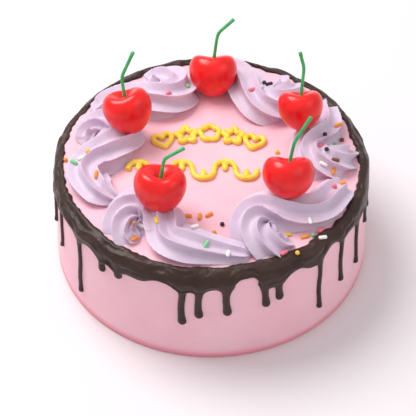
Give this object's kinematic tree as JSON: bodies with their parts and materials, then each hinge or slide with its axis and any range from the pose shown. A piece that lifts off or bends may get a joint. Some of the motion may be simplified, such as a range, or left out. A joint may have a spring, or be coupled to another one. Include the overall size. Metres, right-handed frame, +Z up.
{
  "type": "iced party cake",
  "caption": "Round iced cake with a chocolate drip edge, a ring of piped cream swirls, glossy cherries, piped icing motifs and sprinkles, for a table setting.",
  "frame": {"origin": "middle of the flat underside of the cake, on the surface it stands on", "axes": "+Z up, -Y towards the front of the cake as pictured, +X to its right"},
  "size_m": [0.1549, 0.1543, 0.1037],
  "materials": {
    "pink_icing": "soft matt icing",
    "chocolate": "set glaze with a satin sheen",
    "lavender_cream": "smooth whipped cream",
    "cherry_red": "wet gloss",
    "stem_green": "matt stem",
    "yellow_icing": "piped icing, slight gloss"
  },
  "bodies": {
    "root": {"cake_body": "pink_icing", "chocolate_drip": "chocolate", "cream_swirl_1": "lavender_cream", "cream_swirl_2": "lavender_cream", "cream_swirl_3": "lavender_cream", "cream_swirl_4": "lavender_cream", "cream_swirl_5": "lavender_cream", "cream_swirl_6": "lavender_cream", "cherry_1": "cherry_red", "cherry_2": "cherry_red", "cherry_3": "cherry_red", "cherry_4": "cherry_red", "cherry_5": "cherry_red", "cherry_stem_1": "stem_green", "cherry_stem_2": "stem_green", "cherry_stem_3": "stem_green", "cherry_stem_4": "stem_green", "cherry_stem_5": "stem_green", "piped_heart_left": "yellow_icing", "piped_star_left": "yellow_icing", "piped_flower": "yellow_icing", "piped_star_right": "yellow_icing", "piped_heart_right": "yellow_icing", "piped_vine": "yellow_icing"}
  },
  "joints": []
}
